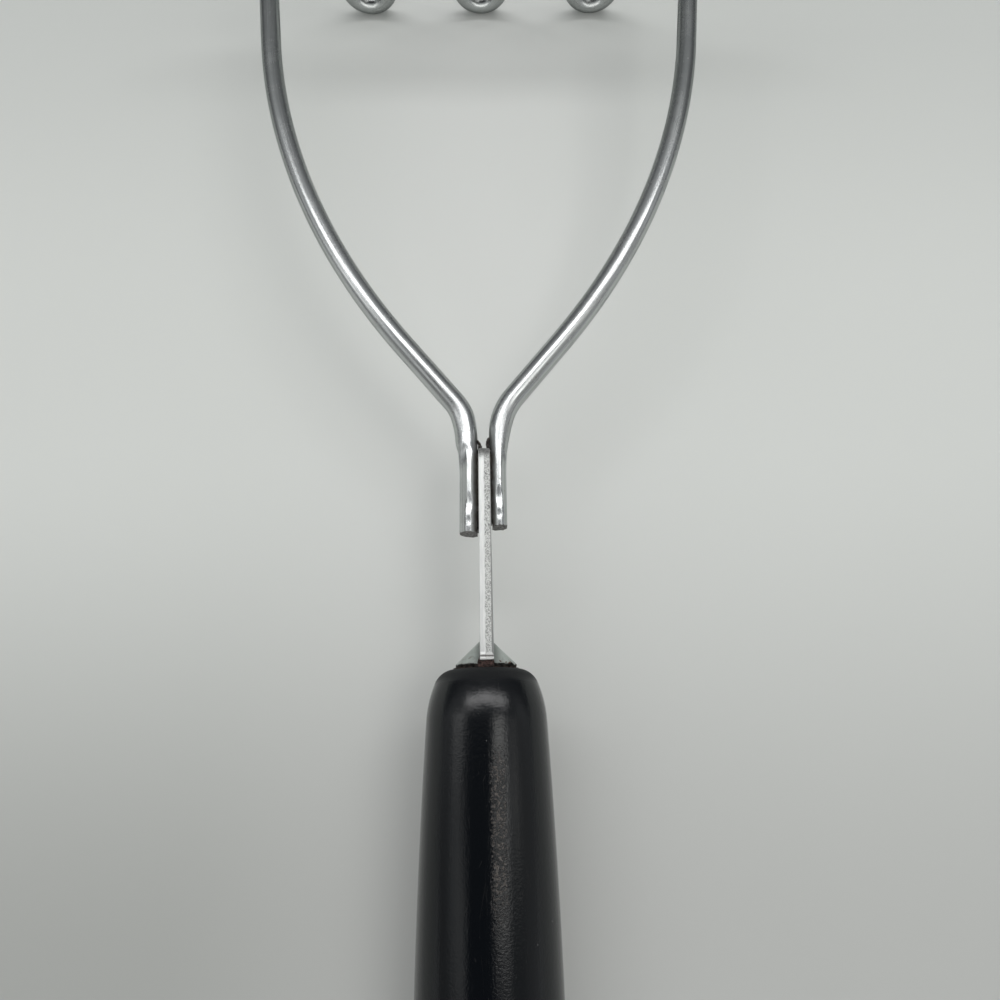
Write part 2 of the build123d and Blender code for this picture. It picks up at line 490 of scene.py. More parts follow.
def edge_point(point, outward, across):
    half = tang_thickness / 2
    roll = tang_edge_roll if across < 0 else tang_edge_burr
    past = max(0.0, abs(across) - (half - roll)) / roll
    inset = roll * (1 - sqrt(max(0.0, 1 - past**2)))
    place = Vector((across, point.x, point.y))
    torn = smooth_share(across, -0.00015, 0.0002)
    grain = noise.noise(place * 5200) + 0.6 * noise.noise(place * 11000)
    relief = -0.00004 * torn * (1 + grain) + 0.000004 * noise.noise(place * 1500)
    # A burr stands up where the tang's shoulder was struck
    shoulder = smooth_share(0.0024 - point.x, 0, 0.0007) if outward.y > 0.5 else 0
    ridges = 0.00010 * shoulder * (1 - 1.6 * exp(-(((point.x - 0.00172) / 0.00013) ** 2)))
    spread = 0.00032 * shoulder * smooth_share(across, 0, half)
    moved = point + outward * (relief - inset + ridges)
    tip = max(0.0, point.x - (tang_length - 0.0007)) / 0.0007
    return (across * (1 - 0.30 * tip**2) + spread, moved.x, moved.y)


def make_tang(finish):
    outline = tang_outline()
    steps = [-1, -0.97, -0.93, -0.87, -0.8, -0.7, -0.55, -0.4, -0.25, -0.1, 0, 0.1, 0.2, 0.3, 0.4, 0.5, 0.6, 0.7,
             0.78, 0.86, 0.92, 0.96, 1]
    shape = bmesh.new()
    rows = []
    for index, point in enumerate(outline):
        run = outline[(index + 1) % len(outline)] - outline[index - 1]
        outward = Vector((run.y, -run.x)).normalized()
        rows.append([shape.verts.new(edge_point(point, outward, step * tang_thickness / 2)) for step in steps])
    for index, row in enumerate(rows):
        following = rows[(index + 1) % len(rows)]
        for k in range(len(steps) - 1):
            shape.faces.new((row[k], following[k], following[k + 1], row[k + 1]))
    shape.faces.new([row[0] for row in rows])
    shape.faces.new([row[-1] for row in rows])
    mesh = mesh_from_bmesh("sheared_tang", shape)
    mesh.transform(TOOL)
    return finish_piece(new_piece("sheared_tang", mesh), [finish], crease=radians(50), replaces=["tang"])


# The ferrule is a pressed cone in two wings, one each side of the slot, on a rolled rim
def make_ferrule(finish):
    shape = bmesh.new()
    steps_up = 34
    steps_round = 40
    for side in (-1, 1):
        skins = []
        for wall in (0, ferrule_wall):
            grid = []
            for row in range(steps_up + 1):
                share = row / steps_up
                station = ferrule_rim_height * 0.55 + share * (ferrule_height - 0.0001 - ferrule_rim_height * 0.55)
                fall = max(0.0, station - ferrule_rim_height) / (ferrule_height - ferrule_rim_height)
                radius = ferrule_radius + fall * (ferrule_nose_radius - ferrule_radius)
                slot = slot_half + slot_flare * (1 - smooth_share(station, 0.0007, 0.0019))
                slot = min(slot, radius * 0.995)
                radius = max(radius - wall, slot * 1.004)
                low = asin(min(1, slot / radius))
                line = []
                for k in range(steps_round + 1):
                    turn = low + (pi - 2 * low) * k / steps_round
                    place = Vector((side * sin(turn), cos(turn), station * 300))
                    dent = 1 + 0.012 * noise.noise(place * 2.2) * (1 - share)
                    line.append(shape.verts.new((
                        side * radius * dent * sin(turn), station - wall * 0.7, radius * dent * cos(turn)
                    )))
                grid.append(line)
            skins.append(grid)
        outer, inner = skins
        for grid in skins:
            for row, following in zip(grid, grid[1:]):
                for k in range(steps_round):
                    shape.faces.new((row[k], row[k + 1], following[k + 1], following[k]))
        for border in (0, -1):
            for k in range(steps_round):
                shape.faces.new((outer[border][k], outer[border][k + 1], inner[border][k + 1], inner[border][k]))
            for row in range(steps_up):
                shape.faces.new((
                    outer[row][border], outer[row + 1][border], inner[row + 1][border], inner[row][border]
                ))
    rim_steps = 90
    tube_steps = 14
    tube = ferrule_rim_height / 2
    cut = asin((slot_half + slot_flare) / ferrule_radius)
    for side in (-1, 1):
        rings = []
        for k in range(rim_steps + 1):
            turn = cut + (pi - 2 * cut) * k / rim_steps
            ring = []
            for j in range(tube_steps):
                around = 2 * pi * j / tube_steps
                lump = 1 + 0.2 * noise.noise(Vector((side * 3 + sin(turn) * 9, cos(turn) * 9, around * 0.8)))
                out = ferrule_radius - tube * 1.06 + tube * lump * cos(around) * 0.98
                up = tube + tube * lump * sin(around) * 0.98
                ring.append(shape.verts.new((side * out * sin(turn), up, out * cos(turn))))
            rings.append(ring)
        for ring, following in zip(rings, rings[1:]):
            for j in range(tube_steps):
                near = (j + 1) % tube_steps
                shape.faces.new((ring[j], ring[near], following[near], following[j]))
        shape.faces.new(rings[0])
        shape.faces.new(rings[-1])
    mesh = mesh_from_bmesh("pressed_ferrule", shape)
    mesh.transform(TOOL)
    return finish_piece(
        new_piece("pressed_ferrule", mesh), [finish], crease=radians(50), replaces=["ferrule"]
    )


# The tree puts a lumpy bead on each point of its mesh, each of its own size and turn
def beads_tree():
    tree, given, result = new_tree(
        "lumpy_beads", "GeometryNodeTree",
        {
            "Geometry": ("NodeSocketGeometry", None),
            "Bead Radius": ("NodeSocketFloat", 0.0002),
            "Variation": ("NodeSocketFloat", 0.5),
            "Seed": ("NodeSocketInt", 1),
            "Finish": ("NodeSocketMaterial", None),
        },
        {"Geometry": "NodeSocketGeometry"},
    )
    ball = add_node(tree, "GeometryNodeMeshIcoSphere", {"Radius": given["Bead Radius"], "Subdivisions": 3}).outputs["Mesh"]
    low = add_math(tree, "SUBTRACT", 1.0, given["Variation"])
    high = add_math(tree, "ADD", 1.0, given["Variation"])
    sizes = add_node(tree, "FunctionNodeRandomValue", {"Seed": given["Seed"]}, data_type="FLOAT_VECTOR")
    for socket, value in ((sizes.inputs[0], low), (sizes.inputs[1], high)):
        tree.links.new(value, socket)
    turns = add_node(
        tree, "FunctionNodeRandomValue", {0: (0, 0, 0), 1: (2 * pi, 2 * pi, 2 * pi), "Seed": given["Seed"]},
        data_type="FLOAT_VECTOR",
    )
    beads = add_node(
        tree, "GeometryNodeInstanceOnPoints",
        {"Points": given["Geometry"], "Instance": ball, "Rotation": turns.outputs[0], "Scale": sizes.outputs[0]},
    ).outputs["Instances"]
    beads = add_node(tree, "GeometryNodeRealizeInstances", {"Geometry": beads}).outputs["Geometry"]
    place = add_node(tree, "GeometryNodeInputPosition").outputs["Position"]
    per_radius = add_math(tree, "DIVIDE", 0.8, given["Bead Radius"])
    rough = add_node(tree, "ShaderNodeTexNoise", {"Vector": place, "Scale": per_radius, "Detail": 2.0}).outputs["Fac"]
    push = add_math(tree, "MULTIPLY", add_math(tree, "SUBTRACT", rough, 0.5), add_math(tree, "MULTIPLY", given["Bead Radius"], 1.3))
    outward = add_node(tree, "GeometryNodeInputNormal").outputs["Normal"]
    offset = add_node(tree, "ShaderNodeVectorMath", {0: outward, "Scale": push}, operation="SCALE").outputs[0]
    beads = add_node(tree, "GeometryNodeSetPosition", {"Geometry": beads, "Offset": offset}).outputs["Geometry"]
    beads = add_node(tree, "GeometryNodeSetMaterial", {"Geometry": beads, "Material": given["Finish"]}).outputs["Geometry"]
    tree.links.new(beads, result["Geometry"])
    return tree


def make_beads(name, points, radius, variation, seed, finish):
    mesh = bpy.data.meshes.new(name + "_points")
    mesh.from_pydata(points, [], [])
    beads = run_tree(
        name, mesh, BEADS, bead_radius=radius, variation=variation, seed=seed, finish=finish
    )
    beads.data.transform(TOOL)
    return finish_piece(beads, [finish])


# Dark flash stands along both seams, and a spur of it hooks round each wire at the top
def make_weld_flash(finish):
    draw = random.Random(11)
    for side, name in ((-1, "left"), (1, "right")):
        start = tang_length - overlaps[side] + 0.0006
        seam = []
        for k in range(46):
            station = start + (tang_length - start) * k / 45 + draw.uniform(-0.0001, 0.0001)
            height = draw.uniform(0.0003, 0.0012)
            seam.append(Vector((side * (tang_thickness / 2 + weld_thickness / 2), station, height)))
            seam.append(Vector((side * (tang_thickness / 2 + weld_thickness / 2), station, -height)))
        make_beads("weld_flash_" + name, seam, 0.00016, 0.3, 3 + side, finish)
    for side, name, low, high in ((-1, "left", 0.0001, 0.0017), (1, "right", 0.0003, 0.0021)):
        spur = []
        for k in range(9):
            share = k / 8
            bulge = 0.00026 * sin(pi * share)
            across = leg_offset + stand_offs[side] * share - wire_radius * 0.99 - bulge
            spur.append(Vector((side * across, tang_length + low + (high - low) * share, 0.0004)))
        make_beads("weld_spur_" + name, spur, 0.00031, 0.18, 9 + side, finish)


# Rust has grown in the slot between the tang's shoulder and the handle, and grains of
# dirt and rust sit in the corner round the rim
def make_slot_rust(rust_finish, dirt_finish):
    draw = random.Random(23)
    crust = []
    for row in range(9):
        half = slot_half + slot_flare * (1 - row / 8)
        for k in range(15):
            crust.append(Vector((
                (-1 + 2 * k / 14) * half + draw.uniform(-0.00008, 0.00008),
                0.00005 + 0.0011 * row / 8,
                0.0041 + 0.0003 * (1 - row / 8) + draw.uniform(-0.0002, 0.00012),
            )))
    make_beads("slot_rust", crust, 0.00019, 0.4, 31, rust_finish)
    grains = []
    for k in range(320):
        turn = draw.uniform(0, 2 * pi)
        out = ferrule_radius + draw.gauss(0.00006, 0.00010)
        grains.append(Vector((out * sin(turn), draw.uniform(-0.00003, 0.00012), out * cos(turn))))
    make_beads("rim_dirt", grains, 0.00009, 0.6, 41, dirt_finish)


# Shader groups. Each puts out a mask or a height that changes over the surface.

VECTOR = ("NodeSocketVector", (0, 0, 0))


def value_input(value):
    return ("NodeSocketFloat", value)


# Fine lines drawn out along the Z axis of the vector
def streaks_group():
    tree, given, result = new_tree(
        "drawn_streaks", "ShaderNodeTree",
        {"Vector": VECTOR, "Fineness": value_input(3000), "Length Share": value_input(0.02)},
        {"Height": "NodeSocketFloat"},
    )
    lengthwise = add_math(tree, "MULTIPLY", given["Fineness"], given["Length Share"])
    scales = add_node(
        tree, "ShaderNodeCombineXYZ", {"X": given["Fineness"], "Y": given["Fineness"], "Z": lengthwise}
    ).outputs[0]
    place = add_node(tree, "ShaderNodeVectorMath", {0: given["Vector"], 1: scales}, operation="MULTIPLY").outputs[0]
    lines = add_node(tree, "ShaderNodeTexNoise", {"Vector": place, "Scale": 1.0, "Detail": 3.0, "Roughness": 0.6})
    tree.links.new(lines.outputs["Fac"], result["Height"])
    return tree


# Patches where the surface is worn or dirty, with ragged edges
def patches_group():
    tree, given, result = new_tree(
        "ragged_patches", "ShaderNodeTree",
        {"Vector": VECTOR, "Scale": value_input(200), "Cover": value_input(0.4), "Edge": value_input(0.08)},
        {"Mask": "NodeSocketFloat"},
    )
    broad = add_node(
        tree, "ShaderNodeTexNoise",
        {"Vector": given["Vector"], "Scale": given["Scale"], "Detail": 7.0, "Roughness": 0.66, "Distortion": 0.4},
    ).outputs["Fac"]
    limit = add_math(tree, "SUBTRACT", 1.0, given["Cover"])
    low = add_math(tree, "SUBTRACT", limit, given["Edge"])
    high = add_math(tree, "ADD", limit, given["Edge"])
    spread = add_range(tree, broad, 0.25, 0.75, kind="LINEAR")
    mask = add_range(tree, spread, low, high)
    tree.links.new(mask, result["Mask"])
    return tree


# Small separate specks, of which only a share is kept
def specks_group():
    tree, given, result = new_tree(
        "fine_specks", "ShaderNodeTree",
        {"Vector": VECTOR, "Scale": value_input(2000), "Share Kept": value_input(0.3), "Size": value_input(0.35)},
        {"Mask": "NodeSocketFloat"},
    )
    cells = add_node(
        tree, "ShaderNodeTexVoronoi", {"Vector": given["Vector"], "Scale": given["Scale"], "Randomness": 1.0}
    )
    tone = add_node(tree, "ShaderNodeSeparateColor", {"Color": cells.outputs["Color"]}).outputs[0]
    kept = add_math(tree, "LESS_THAN", tone, given["Share Kept"])
    inner = add_math(tree, "MULTIPLY", given["Size"], 0.5)
    round_spot = add_range(tree, cells.outputs["Distance"], inner, given["Size"], 1.0, 0.0)
    mask = add_math(tree, "MULTIPLY", kept, round_spot)
    tree.links.new(mask, result["Mask"])
    return tree


# Thin straight scratches that cross each other
def scratches_group():
    tree, given, result = new_tree(
        "thin_scratches", "ShaderNodeTree",
        {"Vector": VECTOR, "Scale": value_input(120), "Width": value_input(0.02), "Cover": value_input(0.4)},
        {"Mask": "NodeSocketFloat"},
    )
    masks = []
    for turn, stretch in ((0.35, 14.0), (-0.9, 11.0), (1.9, 16.0)):
        turned = add_node(
            tree, "ShaderNodeMapping",
            {"Vector": given["Vector"], "Rotation": (turn * 0.4, turn * 0.7, turn), "Scale": (stretch, 1.0, 1.0)},
        ).outputs[0]
        cells = add_node(
            tree, "ShaderNodeTexVoronoi", {"Vector": turned, "Scale": given["Scale"]}, feature="DISTANCE_TO_EDGE"
        ).outputs["Distance"]
        line = add_range(tree, cells, 0.0, given["Width"], 1.0, 0.0)
        where = add_node(
            tree, "ShaderNodeTexNoise", {"Vector": turned, "Scale": given["Scale"], "Detail": 2.0}
        ).outputs["Fac"]
        limit = add_math(tree, "SUBTRACT", 0.75, add_math(tree, "MULTIPLY", given["Cover"], 0.3))
        masks.append(add_math(tree, "MULTIPLY", line, add_math(tree, "GREATER_THAN", where, limit)))
    mask = add_math(tree, "MAXIMUM", masks[0], add_math(tree, "MAXIMUM", masks[1], masks[2]))
    tree.links.new(mask, result["Mask"])
    return tree


STREAKS = streaks_group()
PATCHES = patches_group()
SPECKS = specks_group()
SCRATCHES = scratches_group()
BEADS = beads_tree()


def use_group(tree, group, **inputs):
    node = add_node(tree, "ShaderNodeGroup", node_tree=group)
    for name, value in inputs.items():
        socket = node.inputs[name.replace("_", " ").title()]
        if isinstance(value, bpy.types.NodeSocket):
            tree.links.new(value, socket)
        else:
            socket.default_value = value
    return node.outputs[0]


# A new material with its surface shader
def new_finish(name, **sockets):
    material = bpy.data.materials.new(name)
    material.use_nodes = True
    tree = material.node_tree
    shader = tree.nodes["Principled BSDF"]
    for label, value in sockets.items():
        shader.inputs[label.replace("_", " ")].default_value = value
    return material, tree, shader


# The tool's own coordinates: across, station and up
def tool_coordinates(tree):
    place = add_node(tree, "ShaderNodeTexCoord").outputs["Object"]
    return add_node(
        tree, "ShaderNodeMapping",
        {"Vector": place, "Location": front_face, "Rotation": (tilt, 0, 0)}, vector_type="TEXTURE",
    ).outputs[0]


# The same with the station last, for finishes that run along the tool
def lengthwise_coordinates(tree, place):
    parts = add_node(tree, "ShaderNodeSeparateXYZ", {0: place}).outputs
    return add_node(tree, "ShaderNodeCombineXYZ", {0: parts[0], 1: parts[2], 2: parts[1]}).outputs[0]


def add_bump(tree, shader, height, distance, strength=1.0, under=None):
    inputs = {"Height": height, "Distance": distance, "Strength": strength}
    if under is not None:
        inputs["Normal"] = under
    normal = add_node(tree, "ShaderNodeBump", inputs).outputs[0]
    tree.links.new(normal, shader.inputs["Normal"])
    return normal


def plated_wire_finish():
    material, tree, shader = new_finish("plated_wire", Metallic=1.0, Specular_Tint=(0.55, 0.56, 0.56, 1.0))
    place = tool_coordinates(tree)
    parts = add_node(tree, "ShaderNodeSeparateXYZ", {0: place}).outputs
    flow = add_node(tree, "ShaderNodeAttribute", attribute_name="bar_flow").outputs["Vector"]
    streaks = use_group(tree, STREAKS, vector=flow, fineness=2100.0, length_share=0.010)
    fine = use_group(tree, STREAKS, vector=flow, fineness=6500.0, length_share=0.012)
    dull = use_group(tree, PATCHES, vector=place, scale=140.0, cover=0.45, edge=0.3)
    spots = use_group(tree, SPECKS, vector=place, scale=1500.0, share_kept=0.06, size=0.3)
    # Heat of the weld has browned the plating next to the tang
    across = add_math(tree, "ABSOLUTE", parts[0])
    near_tang = add_range(tree, across, 0.00125, 0.0021, 1.0, 0.0)
    beside_tang = add_range(tree, parts[1], 0.0364, 0.0378, 1.0, 0.0)
    cloud = add_node(tree, "ShaderNodeTexNoise", {"Vector": place, "Scale": 700.0, "Detail": 4.0}).outputs["Fac"]
    heat = add_math(tree, "MULTIPLY", near_tang, add_math(tree, "MULTIPLY", beside_tang, add_range(tree, cloud, 0.25, 0.6)))
    drawn = add_range(tree, streaks, 0.36, 0.5, 1.0, 0.0)
    colour = add_mix(tree, add_math(tree, "MULTIPLY", dull, 0.45), (0.60, 0.615, 0.615), (0.46, 0.47, 0.465))
    colour = add_mix(tree, add_math(tree, "MULTIPLY", drawn, 0.55), colour, (0.33, 0.335, 0.335))
    colour = add_mix(tree, add_math(tree, "MULTIPLY", spots, 0.5), colour, (0.22, 0.19, 0.165))
    colour = add_mix(tree, add_math(tree, "MULTIPLY", heat, 0.85), colour, (0.12, 0.08, 0.058))
    # Painted shade: the inner sides of the wire at the neck, facing the other wire and the tang, are darkened and made
    # rougher
    neck_inner_shade = add_math(tree, "MULTIPLY", add_range(tree, across, 0.0013, 0.0022, 1.0, 0.0), add_range(tree, parts[1], 0.0385, 0.0425, 1.0, 0.0))
    colour = add_mix(tree, add_math(tree, "MULTIPLY", neck_inner_shade, 0.6), colour, (0.15, 0.145, 0.135))
    # Painted shade: the arms are darkened toward the grid to dim their reflections there
    painted_shade_toward_grid = add_range(tree, parts[1], 0.088, 0.118, 0.0, 0.6)
    colour = add_mix(tree, painted_shade_toward_grid, colour, (0.30, 0.315, 0.31))
    tree.links.new(colour, shader.inputs["Base Color"])
    rough = add_math(tree, "ADD", add_math(tree, "MULTIPLY", dull, 0.08), add_math(tree, "MULTIPLY", fine, 0.12))
    rough = add_math(tree, "ADD", add_math(tree, "MULTIPLY", neck_inner_shade, 0.25), add_math(tree, "ADD", rough, 0.16))
    tree.links.new(rough, shader.inputs["Roughness"])
    relief = add_math(tree, "ADD", streaks, add_math(tree, "MULTIPLY", fine, 0.3))
    add_bump(tree, shader, relief, 0.00004, 0.8)
    return material


def sheared_end_finish():
    material, tree, shader = new_finish("sheared_wire_end", Metallic=0.8, Roughness=0.5)
    place = tool_coordinates(tree)
    tears = add_node(tree, "ShaderNodeTexNoise", {"Vector": place, "Scale": 2600.0, "Detail": 6.0}).outputs["Fac"]
    colour = add_mix(tree, add_range(tree, tears, 0.4, 0.65), (0.05, 0.048, 0.046), (0.30, 0.29, 0.28))
    tree.links.new(colour, shader.inputs["Base Color"])
    add_bump(tree, shader, tears, 0.00025)
    return material


# The edge of the tang was sheared: one half of it burnished, the other torn and grainy
def tang_finish():
    material, tree, shader = new_finish("sheared_tang_steel", Metallic=0.3)
    place = tool_coordinates(tree)
    parts = add_node(tree, "ShaderNodeSeparateXYZ", {0: place}).outputs
    facing = add_node(tree, "ShaderNodeSeparateXYZ", {0: add_node(tree, "ShaderNodeNewGeometry").outputs["Normal"]}).outputs
    side_face = add_range(tree, add_math(tree, "ABSOLUTE", facing[0]), 0.6, 0.8)
    wander = add_node(tree, "ShaderNodeTexNoise", {"Vector": place, "Scale": 900.0, "Detail": 3.0}).outputs["Fac"]
    line = add_math(tree, "ADD", parts[0], add_range(tree, wander, 0.0, 1.0, -0.00022, 0.00022, "LINEAR"))
    torn = add_range(tree, line, -0.00008, 0.00006)
    end_cap = add_range(tree, add_math(tree, "ADD", parts[1], add_math(tree, "MULTIPLY", wander, 0.0016)), 0.0350, 0.0364)
    torn = add_math(tree, "MAXIMUM", torn, end_cap)
    torn = add_math(tree, "MULTIPLY", torn, add_math(tree, "SUBTRACT", 1.0, side_face))
    grain = add_node(tree, "ShaderNodeTexNoise", {"Vector": place, "Scale": 5200.0, "Detail": 3.0, "Roughness": 0.7}).outputs["Fac"]
    lengthwise = lengthwise_coordinates(tree, place)
    rolled = use_group(tree, STREAKS, vector=lengthwise, fineness=6000.0, length_share=0.05)
    grit = add_range(tree, grain, 0.36, 0.56)
    cracks = add_node(tree, "ShaderNodeTexNoise", {"Vector": place, "Scale": 2100.0, "Detail": 5.0, "Roughness": 0.7}).outputs["Fac"]
    cracks = add_range(tree, cracks, 0.36, 0.43, 1.0, 0.0)
    bright = add_mix(tree, add_range(tree, rolled, 0.3, 0.7), (0.84, 0.85, 0.84), (0.97, 0.98, 0.96))
    grainy = add_mix(tree, grit, (0.36, 0.36, 0.35), (0.88, 0.89, 0.87))
    grainy = add_mix(tree, add_math(tree, "MULTIPLY", cracks, 0.85), grainy, (0.07, 0.068, 0.065))
    dark_cap = add_mix(tree, grit, (0.10, 0.10, 0.10), (0.40, 0.40, 0.39))
    grainy = add_mix(tree, end_cap, grainy, dark_cap)
    colour = add_mix(tree, torn, bright, grainy)
    # The struck lip at the shoulder is bright, with a dark groove across it
    lip = add_range(tree, parts[1], 0.0021, 0.0025, 1.0, 0.0)
    colour = add_mix(tree, add_math(tree, "MULTIPLY", lip, 0.8), colour, (0.97, 0.97, 0.95))
    groove = add_range(tree, add_math(tree, "ABSOLUTE", add_math(tree, "SUBTRACT", parts[1], 0.00172)), 0.00004, 0.00016, 1.0, 0.0)
    colour = add_mix(tree, add_math(tree, "MULTIPLY", groove, 0.9), colour, (0.10, 0.085, 0.08))
    # The flat sides show plain rolled steel, painted lighter than that to lift the shade on them
    plain = add_mix(tree, rolled, (0.62, 0.63, 0.62), (0.78, 0.79, 0.78))
    colour = add_mix(tree, side_face, colour, plain)
    tree.links.new(colour, shader.inputs["Base Color"])
    rough = add_range(tree, torn, 0.0, 1.0, 0.38, 0.5, "LINEAR")
    tree.links.new(rough, shader.inputs["Roughness"])
    relief = add_math(tree, "ADD", add_math(tree, "MULTIPLY", grain, torn), add_math(tree, "MULTIPLY", rolled, 0.1))
    add_bump(tree, shader, relief, 0.00016, 0.9)
    return material


def ferrule_finish():
    material, tree, shader = new_finish("dull_ferrule_steel", Metallic=0.85)
    place = tool_coordinates(tree)
    parts = add_node(tree, "ShaderNodeSeparateXYZ", {0: place}).outputs
    pressed = use_group(tree, STREAKS, vector=lengthwise_coordinates(tree, place), fineness=3500.0, length_share=0.12)
    mottle = use_group(tree, PATCHES, vector=place, scale=500.0, cover=0.45, edge=0.3)
    ragged = add_node(tree, "ShaderNodeTexNoise", {"Vector": place, "Scale": 1400.0, "Detail": 5.0}).outputs["Fac"]
    height = add_math(tree, "ADD", parts[1], add_range(tree, ragged, 0.25, 0.75, -0.00025, 0.00025, "LINEAR"))
    # The rim is coloured darker along its foot, where it meets the handle
    rim_foot_band = add_range(tree, height, 0.00055, 0.00075, 1.0, 0.0)
    rust = use_group(tree, PATCHES, vector=place, scale=900.0, cover=0.33, edge=0.08)
    near_rim = add_range(tree, height, 0.0008, 0.0022, 1.0, 0.0)
    rust = add_math(tree, "MULTIPLY", rust, near_rim)
    colour = add_mix(tree, pressed, (0.45, 0.49, 0.47), (0.68, 0.72, 0.69))
    colour = add_mix(tree, add_math(tree, "MULTIPLY", mottle, 0.4), colour, (0.32, 0.35, 0.33))
    # Painted shade: the wings are darkened beside the slot, next to the tang
    slot_shade = add_range(tree, add_math(tree, "ABSOLUTE", add_math(tree, "SUBTRACT", parts[0], 0.0002)), 0.0012, 0.0022, 1.0, 0.0)
    colour = add_mix(tree, add_math(tree, "MULTIPLY", slot_shade, 0.6), colour, (0.20, 0.22, 0.21))
    colour = add_mix(tree, rust, colour, (0.16, 0.07, 0.045))
    rim_foot_tone = add_mix(tree, add_range(tree, ragged, 0.35, 0.65), (0.020, 0.018, 0.017), (0.075, 0.068, 0.062))
    colour = add_mix(tree, rim_foot_band, colour, rim_foot_tone)
    tree.links.new(colour, shader.inputs["Base Color"])
    worn = add_math(tree, "MAXIMUM", rim_foot_band, rust)
    tree.links.new(add_range(tree, worn, 0.0, 1.0, 0.42, 0.85, "LINEAR"), shader.inputs["Roughness"])
    relief = add_math(tree, "ADD", add_math(tree, "MULTIPLY", pressed, 0.4), add_math(tree, "MULTIPLY", ragged, worn))
    add_bump(tree, shader, relief, 0.0001, 0.7)
    return material


def lacquer_finish():
    material, tree, shader = new_finish("black_lacquer", IOR=1.45)
    place = tool_coordinates(tree)
    parts = add_node(tree, "ShaderNodeSeparateXYZ", {0: place}).outputs
    lengthwise = lengthwise_coordinates(tree, place)
    grain = use_group(tree, STREAKS, vector=lengthwise, fineness=900.0, length_share=0.03)
    peel = add_node(tree, "ShaderNodeTexNoise", {"Vector": place, "Scale": 1300.0, "Detail": 3.0, "Roughness": 0.55}).outputs["Fac"]
    pores = add_node(tree, "ShaderNodeTexNoise", {"Vector": place, "Scale": 3400.0, "Detail": 3.0, "Roughness": 0.6}).outputs["Fac"]
    # The lacquer is rubbed along the top of the grip, a little right of the middle, under the bright reflection band;
    # its pale brown chips are real wear and also a painted speckled highlight
    wander = add_math(tree, "ADD", parts[0], add_range(tree, peel, 0.2, 0.8, -0.0005, 0.0005, "LINEAR"))
    left_edge = add_range(tree, wander, 0.0004, 0.0009)
    right_edge = add_range(tree, wander, 0.0023, 0.0030, 1.0, 0.0)
    rubbed_highlight_band = add_math(tree, "MULTIPLY", add_math(tree, "MULTIPLY", left_edge, right_edge), add_range(tree, parts[2], 0.0, 0.004))
    rubbed_highlight_band = add_math(tree, "MULTIPLY", rubbed_highlight_band, add_math(tree, "MULTIPLY", add_range(tree, parts[1], -0.010, -0.016), add_range(tree, parts[1], -0.038, -0.026)))
    elsewhere = use_group(tree, PATCHES, vector=place, scale=60.0, cover=0.36, edge=0.2)
    where = add_math(tree, "MAXIMUM", rubbed_highlight_band, add_math(tree, "MULTIPLY", elsewhere, 0.3))
    chips = use_group(tree, PATCHES, vector=place, scale=2400.0, cover=0.42, edge=0.06)
    worn = add_math(tree, "MULTIPLY", rubbed_highlight_band, chips)
    scratches = use_group(tree, SCRATCHES, vector=place, scale=90.0, width=0.012, cover=0.4)
    dust = use_group(tree, SPECKS, vector=place, scale=900.0, share_kept=0.02, size=0.13)
    colour = add_mix(tree, grain, (0.0026, 0.0036, 0.0052), (0.0044, 0.0056, 0.0072))
    # Real wear and a painted speckled highlight: pale brown chips in the rubbed band
    colour = add_mix(tree, add_math(tree, "MULTIPLY", worn, 0.8), colour, (0.105, 0.090, 0.080))
    colour = add_mix(tree, add_math(tree, "MULTIPLY", scratches, 0.3), colour, (0.035, 0.034, 0.033))
    colour = add_mix(tree, add_math(tree, "MULTIPLY", dust, 0.6), colour, (0.13, 0.13, 0.125))
    tree.links.new(colour, shader.inputs["Base Color"])
    rough = add_math(tree, "ADD", add_math(tree, "MULTIPLY", where, 0.03), add_math(tree, "MULTIPLY", scratches, 0.12))
    rough = add_math(tree, "ADD", rough, 0.11)
    # Round the ferrule the lacquer is dull with grime
    grime = add_range(tree, parts[1], -0.0028, -0.0008)
    rough = add_math(tree, "ADD", rough, add_math(tree, "MULTIPLY", grime, 0.6))
    tree.links.new(rough, shader.inputs["Roughness"])
    pitted = add_math(tree, "MULTIPLY", pores, add_range(tree, rubbed_highlight_band, 0.0, 1.0, 0.75, 1.9, "LINEAR"))
    relief = add_math(tree, "ADD", add_math(tree, "MULTIPLY", peel, 0.45), pitted)
    relief = add_math(tree, "ADD", relief, add_math(tree, "MULTIPLY", grain, 0.5))
    relief = add_math(tree, "SUBTRACT", relief, add_math(tree, "MULTIPLY", worn, 0.5))
    add_bump(tree, shader, relief, 0.00006, 0.6)
    return material


def rust_finish():
    material, tree, shader = new_finish("slot_rust", Roughness=0.9)
    place = tool_coordinates(tree)
    scale = add_node(tree, "ShaderNodeTexNoise", {"Vector": place, "Scale": 2200.0, "Detail": 5.0}).outputs["Fac"]
    colour = add_mix(tree, add_range(tree, scale, 0.35, 0.65), (0.032, 0.021, 0.019), (0.115, 0.068, 0.060))
    tree.links.new(colour, shader.inputs["Base Color"])
    add_bump(tree, shader, scale, 0.0001, 0.6)
    return material


def dirt_finish():
    material, tree, shader = new_finish("rim_dirt", Roughness=0.85)
    place = tool_coordinates(tree)
    scale = add_node(tree, "ShaderNodeTexNoise", {"Vector": place, "Scale": 1500.0, "Detail": 4.0}).outputs["Fac"]
    colour = add_mix(tree, add_range(tree, scale, 0.4, 0.62), (0.010, 0.009, 0.0085), (0.075, 0.045, 0.034))
    tree.links.new(colour, shader.inputs["Base Color"])
    return material


